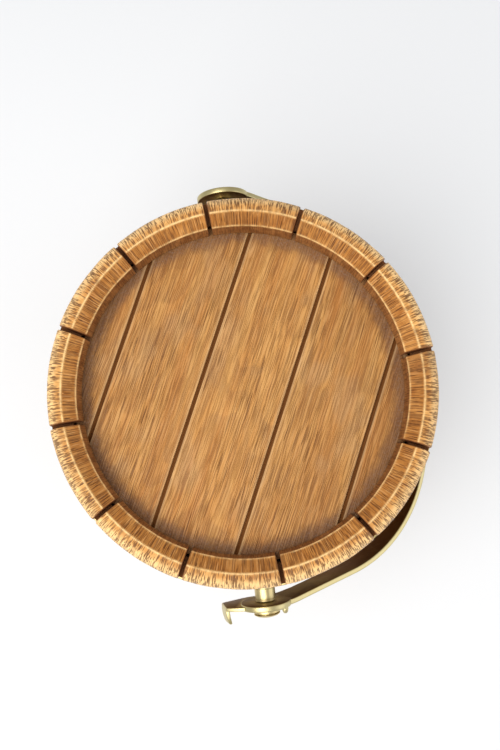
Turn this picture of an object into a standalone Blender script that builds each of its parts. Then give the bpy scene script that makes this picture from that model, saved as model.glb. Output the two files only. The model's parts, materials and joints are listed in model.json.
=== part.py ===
"""Small oak barrel with a brass swing handle.

Units are metres. +Z runs along the barrel's axis from the bottom chime to the
top chime. The origin is the barrel's centre: on that axis, midway between the
two ends. Heights below are measured from the bottom end and every piece is
lowered by half the height at the end. Angles named "bearing" are degrees
clockwise from +Y, seen from above the top head.
"""

import math

import bmesh
import bpy
from mathutils import Matrix, Vector
from mathutils.geometry import tessellate_polygon

MM = 0.001

# ---- driving dimensions -------------------------------------------------
HEIGHT = 275.0 * MM  # chime to chime
MID = HEIGHT / 2
R_BILGE = 106.5 * MM  # outside radius at mid height
R_SHOULDER = 98.3 * MM  # outside radius where the chime's rounding ends
R_END_OUT = 92.0 * MM  # flat end ring
R_END_IN = 88.9 * MM
R_CHIME = 82.8 * MM  # inside radius of the chime wall
R_BELLY_IN = 92.5 * MM  # inside radius at mid height
SHOULDER_H = 10.0 * MM
BEVEL_H = 6.0 * MM
HEAD_H = 18.0 * MM  # head's face below the end
TONGUE_T = 6.0 * MM
HEAD_T = 12.0 * MM
CROZE_R = 87.6 * MM
GAP = 0.3 * MM

STAVES = 12
STAVE_BEARING = 24.4  # bearing of the first joint
KERF = 2.0 * MM  # width of the sawn groove at each joint
KERF_DEPTH = 1.2 * MM  # below the belly's surface
KERF_H = 9.0 * MM  # where the groove's floor meets the outside, below the end

BOARD_BEARING = 24.1  # run of the head boards
BOARD_JOINTS = (-67.1 * MM, -22.1 * MM, 22.1 * MM, 67.1 * MM)
HEAD_R = 86.9 * MM
HEAD_BACK_R = 81.5 * MM
BOARD_GROOVE = 1.6 * MM
BACK_RELIEF = 0.35 * MM  # the boards stand a little apart behind the tongue
DOWEL_R = 2.5 * MM
DOWEL_L = 18.0 * MM

HOOP_T = 0.9 * MM
HOOP_GAP = 0.5 * MM
HOOPS = (  # name, lower edge, upper edge, bearing of the lap
    ("hoop_bottom_head", 26.0 * MM, 44.0 * MM, 250.0),
    ("hoop_bottom_bilge", 84.0 * MM, 102.0 * MM, 38.0),
    ("hoop_top_bilge", 173.0 * MM, 191.0 * MM, 250.0),
    ("hoop_top_head", 231.0 * MM, 249.0 * MM, 38.0),
)
LAP_DEG = 15.0
RIVET_R = 2.3 * MM
RIVET_H = 1.3 * MM

PIVOT_Z = HEIGHT - 57.6 * MM
STRAP_IN = 114.9 * MM  # inner face of the eyes from the barrel's axis
STRAP_T = 2.9 * MM
STRAP_W = 18.0 * MM
# How much the lower and the upper edge spread to meet the eye, on each side.
STRAP_FLARE = {"finger_side": (7.0 * MM, 0.6 * MM), "plain_side": (4.0 * MM, 4.0 * MM)}
EYE_R = 14.0 * MM
EYE_T = 3.2 * MM
EYE_HOLE_R = 3.5 * MM
HANDLE_REACH = 129.8 * MM
HANDLE_REST_DEG = 30.7  # below the horizontal
ARM_SPLAY_DEG = 10.0
CORNER_R = 86.0 * MM
CROWN_BOW_DEG = 7.6
SHANK_R = 3.0 * MM
SCREW_HEAD_R = 7.0 * MM
SCREW_HEAD_H = 4.3 * MM
BUSH_R = 5.7 * MM
BUSH_SEAT = 102.2 * MM
NUT_SEAT = 86.9 * MM

BUNG_BEARING = 9.4
BUNG_R = 8.0 * MM
BUNG_HOLE_R = 8.4 * MM

# ---- clear the scene ----------------------------------------------------
for old in list(bpy.data.objects):
    bpy.data.objects.remove(old, do_unlink=True)


def material(name, colour, roughness, metallic=0.0):
    mat = bpy.data.materials.new(name)
    mat.use_nodes = True
    shader = mat.node_tree.nodes["Principled BSDF"]
    shader.inputs["Base Color"].default_value = (*colour, 1.0)
    shader.inputs["Roughness"].default_value = roughness
    shader.inputs["Metallic"].default_value = metallic
    return mat


OAK = material("oak_stave", (0.55, 0.30, 0.12), 0.6)
OAK_HEAD = material("oak_head", (0.34, 0.18, 0.075), 0.65)
BEECH = material("beech_dowel", (0.66, 0.48, 0.28), 0.7)
BRASS = material("brass", (0.78, 0.66, 0.36), 0.32, 1.0)
BRASS_HOOP = material("brass_hoop", (0.72, 0.58, 0.28), 0.36, 1.0)


def finish(name, mesh, mat, location=(0, 0, 0), smooth=40.0):
    """A mesh as a named object in the scene."""
    obj = bpy.data.objects.new(name, mesh)
    obj.location = location
    bpy.context.scene.collection.objects.link(obj)
    mesh.materials.clear()
    mesh.materials.append(mat)
    mesh.shade_smooth()
    mesh.set_sharp_from_angle(angle=math.radians(smooth))
    return obj


def mesh_of(name, points, faces):
    mesh = bpy.data.meshes.new(name)
    bm = bmesh.new()
    verts = [bm.verts.new(p) for p in points]
    for face in faces:
        bm.faces.new([verts[i] for i in face])
    bmesh.ops.recalc_face_normals(bm, faces=bm.faces)
    if bm.calc_volume(signed=True) < 0:
        bmesh.ops.reverse_faces(bm, faces=bm.faces)
    bm.to_mesh(mesh)
    bm.free()
    return mesh


def bearing(angle, radius=1.0, z=0.0):
    a = math.radians(angle)
    return Vector((radius * math.sin(a), radius * math.cos(a), z))


def turned(name, profile, axis, origin, segments):
    """A solid turned about a line. The profile holds (along, radius), and a radius of 0 closes it."""
    axis = Vector(axis).normalized()
    side = axis.cross(Vector((0, 0, 1)))
    if side.length < 1e-6:
        side = Vector((1, 0, 0))
    side.normalize()
    up = axis.cross(side)
    points, rows = [], []
    for along, radius in profile:
        base = Vector(origin) + axis * along
        if radius == 0:
            rows.append([len(points)])
            points.append(base)
            continue
        row = []
        for k in range(segments):
            a = 2 * math.pi * k / segments
            row.append(len(points))
            points.append(base + side * (radius * math.cos(a)) + up * (radius * math.sin(a)))
        rows.append(row)
    faces = []
    closed = len(rows[0]) > 1
    pairs = list(zip(rows, rows[1:]))
    if closed:
        pairs.append((rows[-1], rows[0]))
    for a, b in pairs:
        for k in range(segments):
            n = (k + 1) % segments
            if len(a) == 1:
                faces.append((a[0], b[k], b[n]))
            elif len(b) == 1:
                faces.append((a[k], b[0], a[n]))
            else:
                faces.append((a[k], b[k], b[n], a[n]))
    return mesh_of(name, points, faces)


def helper(name, mesh, location=(0, 0, 0)):
    """A cutter, or a shape that a Boolean joins: it is no piece of its own."""
    obj = bpy.data.objects.new(name, mesh)
    obj.location = location
    obj.hide_render = True
    obj.display_type = "WIRE"
    bpy.context.scene.collection.objects.link(obj)
    return obj


def combine(obj, other, operation):
    mod = obj.modifiers.new(operation.lower() + "_" + other.name, "BOOLEAN")
    mod.operation = operation
    mod.solver = "EXACT"
    mod.object = other


# ---- the barrel's outline -----------------------------------------------
def outside(z):
    return R_BILGE - (R_BILGE - R_SHOULDER) * ((z - MID) / (MID - SHOULDER_H)) ** 2


INNER_H = HEAD_H + TONGUE_T + GAP


def inside(z):
    return R_BELLY_IN - (R_BELLY_IN - R_CHIME) * ((z - MID) / (MID - INNER_H)) ** 2


def stave_profile():
    """The stave's section as (radius, z), round its edge from the bottom end."""
    chime = (
        (R_END_OUT, 0.0),
        (94.6 * MM, 1.7 * MM),
        (96.6 * MM, 4.3 * MM),
        (97.7 * MM, 7.2 * MM),
        (R_SHOULDER, SHOULDER_H),
    )
    body = (30 * MM, 58 * MM, 95 * MM)
    outer = list(chime)
    outer += [(outside(z), z) for z in body]
    outer.append((R_BILGE, MID))
    outer += [(outside(z), HEIGHT - z) for z in reversed(body)]
    outer += [(r, HEIGHT - z) for r, z in reversed(chime)]
    end = (
        (R_END_IN, 0.0),
        (R_CHIME, BEVEL_H),
        (R_CHIME, HEAD_H - GAP),
        (CROZE_R, HEAD_H - GAP),
        (CROZE_R, INNER_H),
        (R_CHIME, INNER_H),
    )
    belly = (60 * MM, 98 * MM)
    inner = list(end)
    inner += [(inside(z), z) for z in belly]
    inner.append((R_BELLY_IN, MID))
    inner += [(inside(z), HEIGHT - z) for z in reversed(belly)]
    inner += [(r, HEIGHT - z) for r, z in reversed(end)]
    return outer + list(reversed(inner))


def joint_profile():
    """The part of a stave's side that meets its neighbour: behind the kerf, whose floor slopes down to the head."""
    out = [KERF_H, 58 * MM, MID]
    outer = [(outside(z) - KERF_DEPTH, z) for z in out]
    outer += [(outside(z) - KERF_DEPTH, HEIGHT - z) for z in reversed(out[:-1])]
    inn = [60 * MM, MID]
    back = [(CROZE_R + 1.0 * MM, HEAD_H + 0.6 * MM), (CROZE_R + 1.0 * MM, INNER_H + 2 * MM)]
    inner = back + [(inside(z) + 0.6 * MM, z) for z in inn]
    inner += [(inside(60 * MM) + 0.6 * MM, HEIGHT - 60 * MM)]
    inner += [(r, HEIGHT - z) for r, z in reversed(back)]
    return outer + list(reversed(inner))


def stave_mesh():
    """One stave, centred on +X. Its sides are parallel to the joint planes."""
    half = math.pi / STAVES
    profile, joint = stave_profile(), joint_profile()
    stations = (-half, -math.radians(5), math.radians(5), half)
    points, faces = [], []

    def on_side(radius, z, sign, setback):
        a = sign * (half - math.asin(setback / radius))
        return Vector((radius * math.cos(a), radius * math.sin(a), z))

    rows = []
    for radius, z in profile:
        row = []
        for k, a in enumerate(stations):
            row.append(len(points))
            if k in (0, 3):
                points.append(on_side(radius, z, -1 if k == 0 else 1, KERF / 2))
            else:
                points.append(Vector((radius * math.cos(a), radius * math.sin(a), z)))
        rows.append(row)
    count = len(profile)
    for i in range(count):
        a, b = rows[i], rows[(i + 1) % count]
        for k in range(3):
            faces.append((a[k], a[k + 1], b[k + 1], b[k]))
    for sign, column in ((-1, 0), (1, 3)):
        loops = []
        for setback in (KERF / 2, GAP / 2):
            loop = []
            for radius, z in joint:
                loop.append(len(points))
                points.append(on_side(radius, z, sign, setback))
            loops.append(loop)
        edge = [row[column] for row in rows]
        flat = lambda ids: [Vector((points[i].x, points[i].z, 0)) for i in ids]
        order = edge + loops[0]
        for tri in tessellate_polygon([flat(edge), flat(loops[0])]):
            faces.append([order[i] for i in tri])
        n = len(joint)
        for i in range(n):
            j = (i + 1) % n
            faces.append((loops[0][i], loops[0][j], loops[1][j], loops[1][i]))
        for tri in tessellate_polygon([flat(loops[1])]):
            faces.append([loops[1][i] for i in tri])
    return mesh_of("stave", points, faces)


stave_shape = stave_mesh()
staves = []
for k in range(STAVES):
    centre = STAVE_BEARING + 360 / STAVES * (k + 0.5)
    stave = finish(f"stave_{k + 1:02d}", stave_shape.copy(), OAK, smooth=30.0)
    stave.rotation_euler[2] = math.radians(90 - centre)
    staves.append(stave)


def stave_at(angle):
    return staves[int(((angle - STAVE_BEARING) % 360) // (360 / STAVES))]


# ---- heads --------------------------------------------------------------
def board_outline(low, high, radius, steps):
    """Corners of the strip between two lines, inside a circle. x is across the boards, y along them."""
    if high >= radius:
        end = math.acos(low / radius)
        return [
            (radius * math.cos(a), radius * math.sin(a))
            for a in (end * (2 * k / (2 * steps - 1) - 1) for k in range(2 * steps))
        ]
    if low <= -radius:
        return [(-x, -y) for x, y in board_outline(-high, radius, radius, steps)]
    first, last = math.acos(high / radius), math.acos(low / radius)
    arc = [first + (last - first) * k / (steps - 1) for k in range(steps)]
    up = [(radius * math.cos(a), radius * math.sin(a)) for a in arc]
    return up + [(x, -y) for x, y in reversed(up)]


def board_mesh(index, face_z, into):
    """A head board. face_z is its outer face, and into is -1 when the barrel's inside is below it."""
    edges = (-1.0,) + BOARD_JOINTS + (1.0,)
    low, high = edges[index], edges[index + 1]
    half = BOARD_GROOVE / 2
    levels = (
        (0.0, HEAD_R, half),
        (1.5 * MM, HEAD_R, GAP / 2),
        (TONGUE_T, HEAD_R, GAP / 2),
        (TONGUE_T, HEAD_BACK_R, GAP / 2 + BACK_RELIEF),
        (HEAD_T, HEAD_BACK_R, GAP / 2 + BACK_RELIEF),
    )
    turn = Matrix.Rotation(math.radians(-BOARD_BEARING), 3, "Z")
    points, rows = [], []
    for depth, radius, inset in levels:
        a = low + inset if low > -0.9 else -1.0
        b = high - inset if high < 0.9 else 1.0
        row = []
        for x, y in board_outline(a, b, radius, 8):
            row.append(len(points))
            points.append(turn @ Vector((x, y, face_z + into * depth)))
        rows.append(row)
    n = len(rows[0])
    faces = [rows[0], list(reversed(rows[-1]))]
    for a, b in zip(rows, rows[1:]):
        faces += [(a[k], a[(k + 1) % n], b[(k + 1) % n], b[k]) for k in range(n)]
    return mesh_of("board", points, faces)


across = bearing(BOARD_BEARING + 90)
for end, face_z, into in (("top", HEIGHT - HEAD_H, -1), ("bottom", HEAD_H, 1)):
    boards = [
        finish(f"{end}_head_board_{i + 1}", board_mesh(i, face_z, into), OAK_HEAD)
        for i in range(5)
    ]
    z = face_z + into * HEAD_T / 2
    for i, offset in enumerate(BOARD_JOINTS):
        centre = across * offset + Vector((0, 0, z))
        rod = [(-DOWEL_L / 2, 0), (-DOWEL_L / 2, DOWEL_R), (DOWEL_L / 2, DOWEL_R), (DOWEL_L / 2, 0)]
        finish(f"{end}_head_dowel_{i + 1}", turned("dowel", rod, across, centre, 12), BEECH)
        reach, radius = DOWEL_L / 2 + GAP, DOWEL_R + 0.4 * MM
        bore = [(-reach, 0), (-reach, radius), (reach, radius), (reach, 0)]
        cutter = helper(f"cut_{end}_dowel_{i + 1}", turned("bore", bore, across, centre, 12))
        combine(boards[i], cutter, "DIFFERENCE")
        combine(boards[i + 1], cutter, "DIFFERENCE")


# ---- hoops and their rivets ---------------------------------------------
def hoop_mesh(low, high, lap):
    """A band round the staves. Its end laps over its start, which doubles it there."""
    angles = [(lap + LAP_DEG + 0.3 + (345 - 0.6) * k / 44, 0.0) for k in range(45)]
    angles += [(lap + LAP_DEG * k / 2, HOOP_T) for k in range(3)]
    points, rows = [], []
    for angle, extra in angles:
        inner = [outside(z) + HOOP_GAP for z in (low, high)]
        row = []
        for radius, z in (
            (inner[0], low),
            (inner[0] + HOOP_T + extra, low),
            (inner[1] + HOOP_T + extra, high),
            (inner[1], high),
        ):
            row.append(len(points))
            points.append(bearing(angle, radius, z))
        rows.append(row)
    n = len(rows)
    faces = []
    for k in range(n):
        a, b = rows[k], rows[(k + 1) % n]
        faces += [(a[i], a[(i + 1) % 4], b[(i + 1) % 4], b[i]) for i in range(4)]
    return mesh_of("hoop", points, faces)


for name, low, high, lap in HOOPS:
    finish(name, hoop_mesh(low, high, lap), BRASS_HOOP, smooth=30.0)
    z = (low + high) / 2
    base = outside(z) + HOOP_GAP + 2 * HOOP_T + 0.35 * MM
    for k, share in enumerate((0.25, 0.75)):
        angle = lap + LAP_DEG * share
        cap = [
            (0, 0),
            (0, RIVET_R),
            (RIVET_H * 0.55, RIVET_R * 0.86),
            (RIVET_H * 0.9, RIVET_R * 0.45),
            (RIVET_H, 0),
        ]
        shape = turned("rivet", cap, bearing(angle), bearing(angle, base, z), 12)
        finish(f"{name.replace('hoop', 'rivet')}_{k + 1}", shape, BRASS, smooth=60.0)


# ---- handle pivots ------------------------------------------------------
for side, sign in (("finger_side", -1), ("plain_side", 1)):
    axis, centre = (0, sign, 0), (0, 0, PIVOT_Z)
    stave = stave_at(180 if sign < 0 else 0)
    bore = [
        (70 * MM, 0),
        (70 * MM, 7.1 * MM),
        (NUT_SEAT, 7.1 * MM),
        (NUT_SEAT, SHANK_R + 0.45 * MM),
        (BUSH_SEAT, SHANK_R + 0.45 * MM),
        (BUSH_SEAT, 6.0 * MM),
        (125 * MM, 6.0 * MM),
        (125 * MM, 0),
    ]
    combine(stave, helper(f"cut_pivot_{side}", turned("bore", bore, axis, centre, 16)), "DIFFERENCE")

    base = STRAP_IN + EYE_T + GAP
    bolt = [
        (78.5 * MM, 0),
        (78.5 * MM, SHANK_R - 0.5 * MM),
        (79.0 * MM, SHANK_R),
        (base, SHANK_R),
        (base, SCREW_HEAD_R),
        (base + 1.0 * MM, SCREW_HEAD_R),
        (base + 2.6 * MM, SCREW_HEAD_R * 0.85),
        (base + 3.8 * MM, SCREW_HEAD_R * 0.5),
        (base + SCREW_HEAD_H, 0),
    ]
    finish(f"pivot_screw_{side}", turned("screw", bolt, axis, centre, 16), BRASS, smooth=50.0)

    def ring(name, low, high, outer, inner, segments, mat=BRASS):
        shape = [(low, inner), (low, outer), (high, outer), (high, inner)]
        return finish(name, turned(name, shape, axis, centre, segments), mat, smooth=45.0)

    bore_r = SHANK_R + 0.4 * MM
    ring(f"spacer_bush_{side}", BUSH_SEAT + GAP, STRAP_IN - GAP, BUSH_R, bore_r, 16)
    ring(f"inner_washer_{side}", NUT_SEAT - GAP - 1.2 * MM, NUT_SEAT - GAP, 6.6 * MM, bore_r, 16)
    nut_top = NUT_SEAT - 2 * GAP - 1.2 * MM
    ring(f"inner_nut_{side}", nut_top - 4.5 * MM, nut_top, 6.2 * MM, bore_r / math.cos(math.pi / 6), 6)


# ---- swing handle -------------------------------------------------------
REST = math.radians(HANDLE_REST_DEG)


def handle_point(reach, y, wide):
    """A point of the handle from its reach along the arms and its place across the strap's width."""
    return Vector(
        (
            reach * math.cos(REST) + wide * math.sin(REST),
            y,
            -reach * math.sin(REST) + wide * math.cos(REST),
        )
    )


def handle_path():
    """The strap's inner face for y > 0 as (reach, y, heading): a short flat, a bend, the arm, the corner, the crown."""
    splay, bow = math.radians(ARM_SPLAY_DEG), math.radians(CROWN_BOW_DEG)
    flat, bend = 9.0 * MM, 40.0 * MM
    start = STRAP_IN + 0.15 * MM
    x0 = flat + bend * math.sin(splay)
    y0 = start - bend * (1 - math.cos(splay))
    turn_end = math.pi / 2 - bow
    cx = CORNER_R * (math.sin(turn_end) - math.sin(splay))
    cy = CORNER_R * (math.cos(splay) - math.cos(turn_end))
    # The arm's length and the crown's radius bring the crown's middle to (HANDLE_REACH, 0).
    a11, a12 = math.cos(splay), 1 - math.sin(turn_end)
    a21, a22 = math.sin(splay), math.cos(turn_end)
    b1, b2 = HANDLE_REACH - x0 - cx, y0 - cy
    det = a11 * a22 - a12 * a21
    arm = (b1 * a22 - a12 * b2) / det
    crown = (a11 * b2 - a21 * b1) / det
    path = [(0.0, start, 0.0), (flat, start, 0.0)]

    def arc(radius, first, last, steps):
        x, y, _ = path[-1]
        for k in range(1, steps + 1):
            h = first + (last - first) * k / steps
            path.append(
                (
                    x + radius * (math.sin(h) - math.sin(first)),
                    y - radius * (math.cos(first) - math.cos(h)),
                    h,
                )
            )

    arc(bend, 0.0, splay, 2)
    x, y, _ = path[-1]
    for share in (0.1, 0.24, 1.0):
        along = arm * share
        path.append((x + along * math.cos(splay), y - along * math.sin(splay), splay))
    arc(CORNER_R, splay, turn_end, 8)
    arc(crown, turn_end, math.pi / 2, 3)
    return path


def strap_mesh():
    path = handle_path()
    whole = [(x, y, math.sin(h), math.cos(h)) for x, y, h in path]
    whole += [(x, -y, nx, -ny) for x, y, nx, ny in reversed(whole[:-1])]
    trim = 0.5 * MM
    points, rows = [], []
    for x, y, nx, ny in whole:
        row = []
        share = min(max((x - 3 * MM) / (24 * MM), 0.0), 1.0)
        spread = STRAP_FLARE["plain_side" if y > 0 else "finger_side"]
        low, high = (STRAP_W / 2 + extra * (1 - share) ** 2 for extra in spread)
        for off, wide in (
            (0, -low + trim),
            (0, high - trim),
            (trim, high),
            (STRAP_T - trim, high),
            (STRAP_T, high - trim),
            (STRAP_T, -low + trim),
            (STRAP_T - trim, -low),
            (trim, -low),
        ):
            row.append(len(points))
            points.append(handle_point(x + nx * off, y + ny * off, wide))
        rows.append(row)
    faces = [rows[0], list(reversed(rows[-1]))]
    for a, b in zip(rows, rows[1:]):
        faces += [(a[i], a[(i + 1) % 8], b[(i + 1) % 8], b[i]) for i in range(8)]
    return mesh_of("strap", points, faces)


def lofted(name, sections):
    """A solid through four-cornered sections."""
    points = [Vector(p) for section in sections for p in section]
    faces = [(0, 1, 2, 3), tuple(range(len(points) - 1, len(points) - 5, -1))]
    for s in range(len(sections) - 1):
        a = 4 * s
        faces += [(a + i, a + (i + 1) % 4, a + 4 + (i + 1) % 4, a + 4 + i) for i in range(4)]
    return mesh_of(name, points, faces)


def finger_mesh():
    """The tail beyond the eye, which narrows and turns outwards into a leaning finger."""
    tail, claw = [], []
    for left_low, left_high, low, high in (
        (-4.0, -4.0, -19.0, 8.0),
        (-9.0, -9.0, -18.6, 7.6),
        (-13.0, -13.0, -17.2, 7.0),
        (-18.4, -17.6, -14.2, 5.6),
        (-25.0, -22.1, -10.6, 3.6),
    ):
        near, far = -(STRAP_IN + 0.9 * MM), -(STRAP_IN + 3.0 * MM)
        a, b, low, high = left_low * MM, left_high * MM, low * MM, high * MM
        tail.append([(a, near, low), (b, near, high), (b, far, high), (a, far, low)])
    for out, left_low, left_high, thick, low, high in (
        (1.1, -25.3, -22.3, 2.3, -10.4, 3.4),
        (3.6, -25.5, -22.5, 2.2, -10.3, 3.2),
        (6.6, -25.2, -22.2, 2.1, -9.6, 2.8),
        (9.2, -24.4, -21.6, 1.9, -8.2, 1.9),
        (10.6, -23.5, -21.2, 1.5, -6.6, 0.9),
    ):
        y = -(STRAP_IN + out * MM)
        a, b, t, low, high = left_low * MM, left_high * MM, thick * MM, low * MM, high * MM
        claw.append([(a, y, low), (b, y, high), (b + t, y, high), (a + t, y, low)])
    return lofted("tail", tail), lofted("claw", claw)


pivot = (0, 0, PIVOT_Z)
handle = finish("swing_handle", strap_mesh(), BRASS, location=pivot, smooth=40.0)
for side, sign in (("finger_side", -1), ("plain_side", 1)):
    disc = [
        (STRAP_IN, 0),
        (STRAP_IN, EYE_R - 0.4 * MM),
        (STRAP_IN + 0.4 * MM, EYE_R),
        (STRAP_IN + EYE_T - 0.4 * MM, EYE_R),
        (STRAP_IN + EYE_T, EYE_R - 0.4 * MM),
        (STRAP_IN + EYE_T, 0),
    ]
    combine(handle, helper(f"eye_{side}", turned("eye", disc, (0, sign, 0), (0, 0, 0), 32), pivot), "UNION")
tail, claw = finger_mesh()
combine(handle, helper("tail", tail, pivot), "UNION")
combine(handle, helper("claw", claw, pivot), "UNION")
STUD_AT = (10.4 * MM, -9.9 * MM)  # along x and z from the pivot
stud = [
    (STRAP_IN + 0.2 * MM, 0),
    (STRAP_IN + 0.2 * MM, 2.0 * MM),
    (STRAP_IN + 8.0 * MM, 1.9 * MM),
    (STRAP_IN + 10.4 * MM, 0.7 * MM),
    (STRAP_IN + 10.4 * MM, 0),
]
combine(handle, helper("stud", turned("stud", stud, (0, -1, 0), (STUD_AT[0], 0, STUD_AT[1]), 10), pivot), "UNION")
hole = [(-140 * MM, 0), (-140 * MM, EYE_HOLE_R), (140 * MM, EYE_HOLE_R), (140 * MM, 0)]
combine(handle, helper("cut_eyes", turned("hole", hole, (0, 1, 0), (0, 0, 0), 16), pivot), "DIFFERENCE")


# ---- bung ---------------------------------------------------------------
out = bearing(BUNG_BEARING)
centre = (0, 0, MID)
hole = [(80 * MM, 0), (80 * MM, BUNG_HOLE_R), (120 * MM, BUNG_HOLE_R), (120 * MM, 0)]
combine(stave_at(BUNG_BEARING), helper("cut_bung", turned("hole", hole, out, centre, 20)), "DIFFERENCE")
plug = [
    (90.5 * MM, 0),
    (90.5 * MM, BUNG_R - 0.7 * MM),
    (100.0 * MM, BUNG_R - 0.2 * MM),
    (110.2 * MM, BUNG_R),
    (111.2 * MM, BUNG_R - 1.0 * MM),
    (111.2 * MM, 0),
]
bung = finish("bung", turned("bung", plug, out, (0, 0, 0), 20), BEECH, location=centre, smooth=50.0)


# ---- the origin goes to the barrel's centre ------------------------------
for obj in bpy.context.scene.collection.objects:
    obj.location.z -= MID
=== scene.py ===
"""Looks for a small oak barrel with a brass swing handle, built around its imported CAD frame."""

import json
import math

import bmesh
import bpy
import numpy as np
from mathutils import Matrix, Vector, noise
from mathutils.geometry import tessellate_polygon


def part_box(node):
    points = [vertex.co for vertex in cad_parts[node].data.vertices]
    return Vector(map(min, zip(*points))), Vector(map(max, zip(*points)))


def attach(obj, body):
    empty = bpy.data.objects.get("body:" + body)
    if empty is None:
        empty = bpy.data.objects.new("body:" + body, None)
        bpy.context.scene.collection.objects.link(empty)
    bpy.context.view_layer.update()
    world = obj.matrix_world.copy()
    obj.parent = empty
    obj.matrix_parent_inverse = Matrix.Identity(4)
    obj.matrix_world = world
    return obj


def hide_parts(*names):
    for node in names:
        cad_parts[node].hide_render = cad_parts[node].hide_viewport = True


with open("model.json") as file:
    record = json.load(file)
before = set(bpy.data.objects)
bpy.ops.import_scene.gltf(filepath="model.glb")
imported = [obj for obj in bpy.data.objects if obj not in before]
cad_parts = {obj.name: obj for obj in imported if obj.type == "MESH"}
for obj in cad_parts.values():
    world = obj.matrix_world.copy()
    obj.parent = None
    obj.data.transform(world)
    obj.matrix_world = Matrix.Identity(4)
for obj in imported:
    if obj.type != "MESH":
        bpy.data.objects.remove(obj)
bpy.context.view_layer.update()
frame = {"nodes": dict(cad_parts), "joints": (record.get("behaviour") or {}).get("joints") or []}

# ---- dimensions, in millimetres; h is the distance from the nearer end --------
MM = 0.001
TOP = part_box("stave_01")[1].z / MM
PIVOT = Vector(next(j["pos_m"] for j in frame["joints"] if j["name"] == "handle_swing")) / MM
BUNG_AXIS = Vector(next(j["axis"] for j in frame["joints"] if j["name"] == "bung_pull"))
STAVES, STAVE_BEARING = 12, 24.4
R_BILGE, R_SHOULDER, SHOULDER_H = 106.5, 98.3, 10.0
R_END_OUT, R_END_IN, R_CHIME, BEVEL_H = 92.0, 88.9, 82.8, 6.0
R_BELLY_IN, CROZE_R, HEAD_H = 92.5, 87.6, 18.0
TONGUE_T, HEAD_T, HEAD_R, HEAD_BACK_R, GAP, SEAM = 6.0, 12.0, 86.9, 81.5, 0.3, 0.06
KERF, KERF_DEPTH, KERF_H = 2.0, 1.2, 9.0
BOARD_BEARING, BOARD_JOINTS = 24.1, (-67.1, -22.1, 22.1, 67.1)
STRAP_IN, STRAP_T, STRAP_W = 114.9, 2.9, 18.0
STRAP_FLARE = {"finger_side": (7.0, 0.6), "plain_side": (4.0, 4.0)}
EYE_R, EYE_T, EYE_HOLE_R = 14.0, 3.2, 3.5
HANDLE_REACH, HANDLE_REST = 129.8, math.radians(30.7)


def outside(h):
    return R_BILGE - (R_BILGE - R_SHOULDER) * ((h - TOP) / (TOP - SHOULDER_H)) ** 2


def inside(h):
    return R_BELLY_IN - (R_BELLY_IN - R_CHIME) * ((h - TOP) / (TOP - 24.3)) ** 2


def bearing(angle, radius=1.0, z=0.0):
    a = math.radians(angle)
    return Vector((radius * math.sin(a), radius * math.cos(a), z))


# ---- mesh helpers --------------------------------------------------------------
def make(name, points, faces, mat, body, nodes=(), attributes=None, smooth=40.0):
    """A mesh from points in millimetres, riding on a body and standing for its CAD nodes."""
    mesh = bpy.data.meshes.new(name)
    mesh.from_pydata([tuple(p) for p in np.asarray(points, float) * MM], [], faces)
    bm = bmesh.new()
    bm.from_mesh(mesh)
    bmesh.ops.recalc_face_normals(bm, faces=bm.faces)
    if bm.calc_volume(signed=True) < 0:
        bmesh.ops.reverse_faces(bm, faces=bm.faces)
    bm.to_mesh(mesh)
    bm.free()
    for key, values in (attributes or {}).items():
        values = np.asarray(values, np.float32)
        if values.ndim == 2:
            layer = mesh.attributes.new(key, "FLOAT_VECTOR", "POINT")
            layer.data.foreach_set("vector", values.ravel())
        else:
            layer = mesh.attributes.new(key, "FLOAT", "POINT")
            layer.data.foreach_set("value", values)
    obj = bpy.data.objects.new(name, mesh)
    bpy.context.scene.collection.objects.link(obj)
    return dress(obj, mat, body, nodes, smooth)


def dress(obj, mat, body, nodes=(), smooth=40.0):
    obj.data.materials.clear()
    obj.data.materials.append(mat)
    obj.data.shade_smooth()
    obj.data.set_sharp_from_angle(angle=math.radians(smooth))
    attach(obj, body)
    if nodes:
        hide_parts(*nodes)
    return obj


def apply_modifiers(obj):
    graph = bpy.context.evaluated_depsgraph_get()
    graph.update()
    mesh = bpy.data.meshes.new_from_object(obj.evaluated_get(graph))
    obj.modifiers.clear()
    obj.data = mesh


def raw(name, points, faces):
    mesh = bpy.data.meshes.new(name)
    mesh.from_pydata([tuple(p) for p in np.asarray(points, float) * MM], [], faces)
    bm = bmesh.new()
    bm.from_mesh(mesh)
    bmesh.ops.recalc_face_normals(bm, faces=bm.faces)
    if bm.calc_volume(signed=True) < 0:
        bmesh.ops.reverse_faces(bm, faces=bm.faces)
    bm.to_mesh(mesh)
    bm.free()
    obj = bpy.data.objects.new(name, mesh)
    bpy.context.scene.collection.objects.link(obj)
    return obj


def merge(target, tools):
    """Joins or cuts the target with helpers, which are then removed."""
    for tool, operation in tools:
        mod = target.modifiers.new(tool.name, "BOOLEAN")
        mod.operation, mod.solver, mod.object = operation, "EXACT", tool
    bpy.context.view_layer.update()
    apply_modifiers(target)
    for tool, _ in tools:
        bpy.data.objects.remove(tool, do_unlink=True)


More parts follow.
